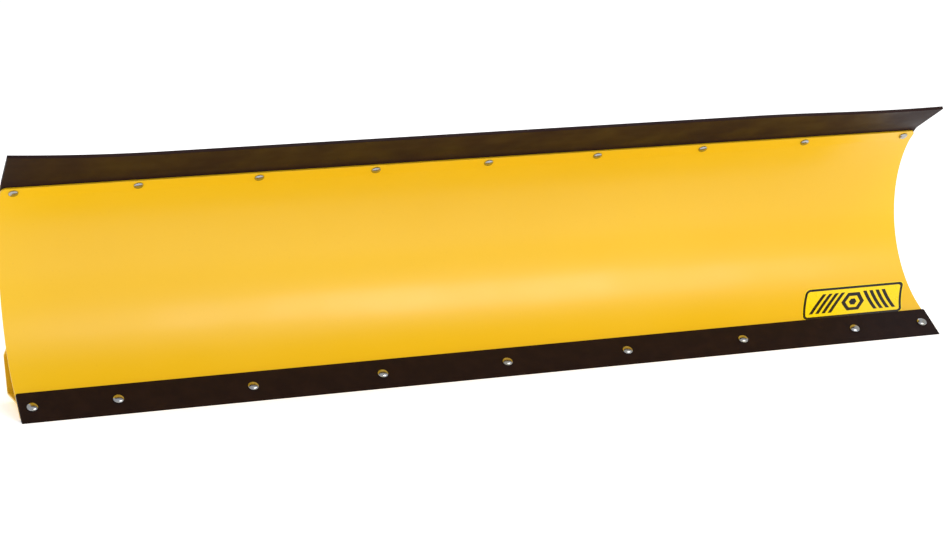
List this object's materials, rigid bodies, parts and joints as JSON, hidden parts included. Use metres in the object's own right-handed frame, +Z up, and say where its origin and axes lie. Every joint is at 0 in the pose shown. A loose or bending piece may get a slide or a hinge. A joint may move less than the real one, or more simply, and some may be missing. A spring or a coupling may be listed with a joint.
{
  "type": "atv plow blade",
  "caption": "Wide curved steel plow blade with a bolted wear bar, a rubber snow flap along the top lip, rear channels and ribs, pivot ears and height-stop skid shoes.",
  "frame": {"origin": "under the middle of the blade's box, on the ground it stands on", "axes": "+X along the blade, the moldboard faces -Y, +Z up"},
  "size_m": [1.8288, 0.272, 0.459],
  "materials": {
    "yellow_paint": "gloss powder coat",
    "wear_bar_steel": "satin black",
    "flap_rubber": "smooth",
    "zinc": "zinc plated",
    "shoe_iron": "black painted casting",
    "label_film": "printed film"
  },
  "bodies": {
    "blade": {"moldboard": "yellow_paint", "wear_bar": "wear_bar_steel", "snow_flap_clamped_edge": "flap_rubber", "flap_clamp_strip": "yellow_paint", "label": "label_film", "lower_channel": "yellow_paint", "upper_channel": "yellow_paint", "rib_1": "yellow_paint", "rib_2": "yellow_paint", "rib_3": "yellow_paint", "rib_4": "yellow_paint", "rib_5": "yellow_paint", "rib_6": "yellow_paint", "wear_bar_bolt_1": "zinc", "wear_bar_bolt_2": "zinc", "wear_bar_bolt_3": "zinc", "wear_bar_bolt_4": "zinc", "wear_bar_bolt_5": "zinc", "wear_bar_bolt_6": "zinc", "wear_bar_bolt_7": "zinc", "wear_bar_bolt_8": "zinc", "wear_bar_bolt_9": "zinc", "flap_bolt_1": "zinc", "flap_bolt_2": "zinc", "flap_bolt_3": "zinc", "flap_bolt_4": "zinc", "flap_bolt_5": "zinc", "flap_bolt_6": "zinc", "flap_bolt_7": "zinc", "flap_bolt_8": "zinc", "flap_bolt_9": "zinc", "pivot_ear_left_inner": "yellow_paint", "pivot_ear_left_outer": "yellow_paint", "pivot_pin_left": "zinc", "trip_spring_anchor_left": "yellow_paint", "skid_bracket_left": "yellow_paint", "pivot_ear_right_inner": "yellow_paint", "pivot_ear_right_outer": "yellow_paint", "pivot_pin_right": "zinc", "trip_spring_anchor_right": "yellow_paint", "skid_bracket_right": "yellow_paint"},
    "flap": {"snow_flap": "flap_rubber"},
    "spacers_left": {"skid_spacer_left_1": "zinc", "skid_spacer_left_2": "zinc"},
    "shoe_left": {"skid_shoe_left": "shoe_iron"},
    "shoe_clip_left": {"skid_shoe_clip_left": "zinc"},
    "shoe_ring_left": {"skid_shoe_clip_left_ring": "zinc"},
    "pivot_clip_left": {"pivot_pin_clip_left": "zinc"},
    "pivot_ring_left": {"pivot_pin_clip_left_ring": "zinc"},
    "spacers_right": {"skid_spacer_right_1": "zinc", "skid_spacer_right_2": "zinc"},
    "shoe_right": {"skid_shoe_right": "shoe_iron"},
    "shoe_clip_right": {"skid_shoe_clip_right": "zinc"},
    "shoe_ring_right": {"skid_shoe_clip_right_ring": "zinc"},
    "pivot_clip_right": {"pivot_pin_clip_right": "zinc"},
    "pivot_ring_right": {"pivot_pin_clip_right_ring": "zinc"}
  },
  "joints": [
    {"name": "flap_bend", "type": "hinge", "parent": "blade", "child": "flap", "pos_m": [0, -0.00769, 0.3975], "axis": [1, 0, 0], "range_deg": [-40, 15], "stiffness_Nm_per_rad": 15, "springref_deg": -3.77},
    {"name": "shoe_drop_left", "type": "slide", "parent": "blade", "child": "spacers_left", "axis": [0, 0, 1], "range_m": [-0.014, 0]},
    {"name": "shoe_swivel_left", "type": "hinge", "parent": "spacers_left", "child": "shoe_left", "pos_m": [-0.7, 0.096, 0.05], "axis": [0, 0, 1], "continuous": true},
    {"name": "shoe_clip_pull_left", "type": "slide", "parent": "shoe_left", "child": "shoe_clip_left", "axis": [-1, 0, 0], "range_m": [0, 0.03]},
    {"name": "shoe_ring_flip_left", "type": "hinge", "parent": "shoe_clip_left", "child": "shoe_ring_left", "pos_m": [-0.713, 0.096, 0.1043], "axis": [0, -1, 0], "range_deg": [0, 106]},
    {"name": "pivot_clip_pull_left", "type": "slide", "parent": "blade", "child": "pivot_clip_left", "axis": [0, 0, 1], "range_m": [0, 0.03]},
    {"name": "pivot_ring_flip_left", "type": "hinge", "parent": "pivot_clip_left", "child": "pivot_ring_left", "pos_m": [-0.2285, 0.1, 0.061], "axis": [0, 1, 0], "range_deg": [0, 106]},
    {"name": "shoe_drop_right", "type": "slide", "parent": "blade", "child": "spacers_right", "axis": [0, 0, 1], "range_m": [-0.014, 0]},
    {"name": "shoe_swivel_right", "type": "hinge", "parent": "spacers_right", "child": "shoe_right", "pos_m": [0.7, 0.096, 0.05], "axis": [0, 0, 1], "continuous": true},
    {"name": "shoe_clip_pull_right", "type": "slide", "parent": "shoe_right", "child": "shoe_clip_right", "axis": [1, 0, 0], "range_m": [0, 0.03]},
    {"name": "shoe_ring_flip_right", "type": "hinge", "parent": "shoe_clip_right", "child": "shoe_ring_right", "pos_m": [0.713, 0.096, 0.1043], "axis": [0, 1, 0], "range_deg": [0, 106]},
    {"name": "pivot_clip_pull_right", "type": "slide", "parent": "blade", "child": "pivot_clip_right", "axis": [0, 0, 1], "range_m": [0, 0.03]},
    {"name": "pivot_ring_flip_right", "type": "hinge", "parent": "pivot_clip_right", "child": "pivot_ring_right", "pos_m": [0.2285, 0.1, 0.061], "axis": [0, -1, 0], "range_deg": [0, 106]}
  ],
  "couplings": [
    {"joint": "shoe_ring_flip_left", "follows": "shoe_clip_pull_left", "rad_per_m": 61.087},
    {"joint": "pivot_ring_flip_left", "follows": "pivot_clip_pull_left", "rad_per_m": 61.087},
    {"joint": "shoe_ring_flip_right", "follows": "shoe_clip_pull_right", "rad_per_m": 61.087},
    {"joint": "pivot_ring_flip_right", "follows": "pivot_clip_pull_right", "rad_per_m": 61.087}
  ]
}
